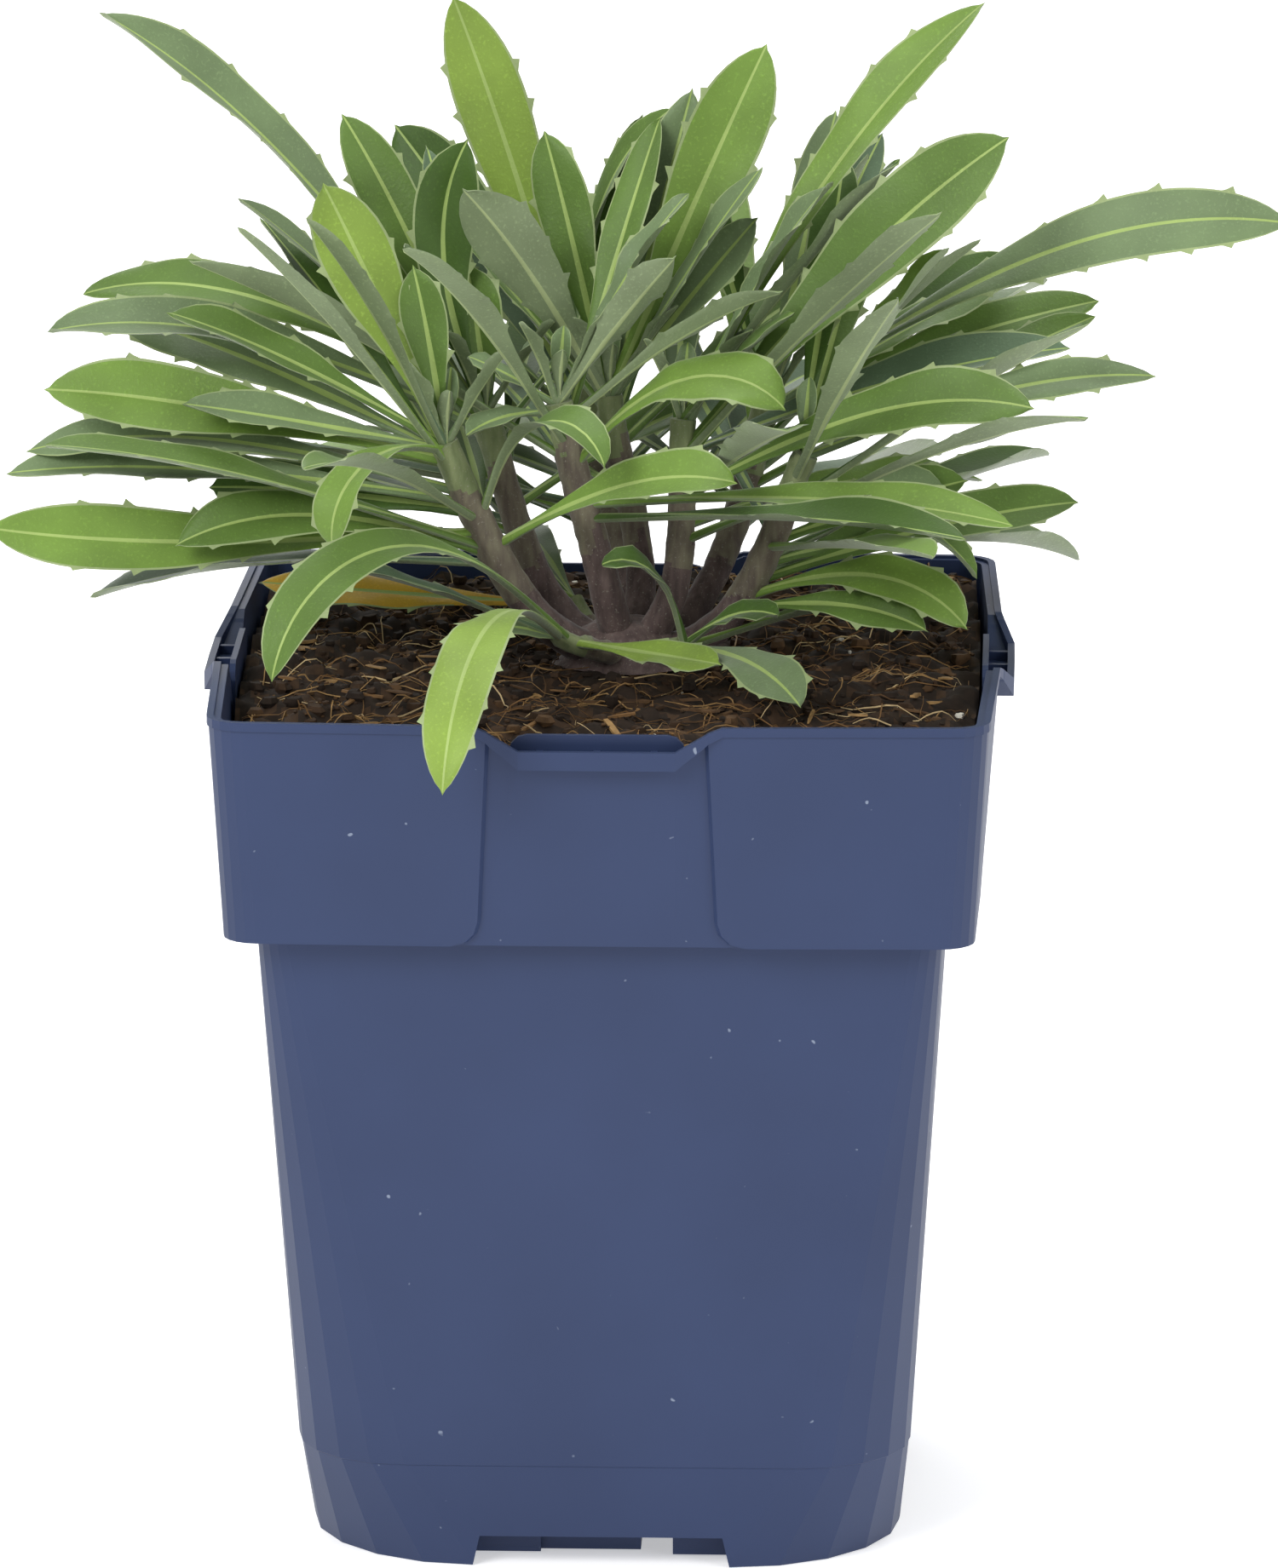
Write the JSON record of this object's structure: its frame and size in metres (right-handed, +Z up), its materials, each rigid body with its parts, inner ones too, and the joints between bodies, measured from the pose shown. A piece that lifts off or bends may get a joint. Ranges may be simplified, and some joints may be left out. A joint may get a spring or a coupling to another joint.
{
  "type": "potted wallflower",
  "caption": "Young perennial wallflower, leaves only, in a square navy plastic nursery pot filled with compost.",
  "frame": {"origin": "middle of the pot's flat underside, on the boss under its floor", "axes": "+Z up, +X to the right and -Y to the viewer in the picture's front view"},
  "size_m": [0.2194, 0.1716, 0.2579],
  "materials": {
    "pot_plastic": "satin moulded",
    "compost": "rough fibrous",
    "bark": "soft hairy bark",
    "leaf": "matt, finely hairy"
  },
  "bodies": {
    "root": {"pot": "pot_plastic", "soil": "compost", "trunk": "bark", "bough_left": "bark", "bough_left_back": "bark", "bough_centre": "bark", "bough_back": "bark", "bough_mid_right": "bark", "bough_right": "bark", "bough_right_back": "bark", "bough_rear": "bark", "foliage_left": "leaf", "foliage_left_back": "leaf", "foliage_centre": "leaf", "foliage_back": "leaf", "foliage_mid_right": "leaf", "foliage_right": "leaf", "foliage_right_back": "leaf", "foliage_rear": "leaf", "foliage_low_left": "leaf", "foliage_low_right": "leaf", "foliage_low_back": "leaf"}
  },
  "joints": []
}
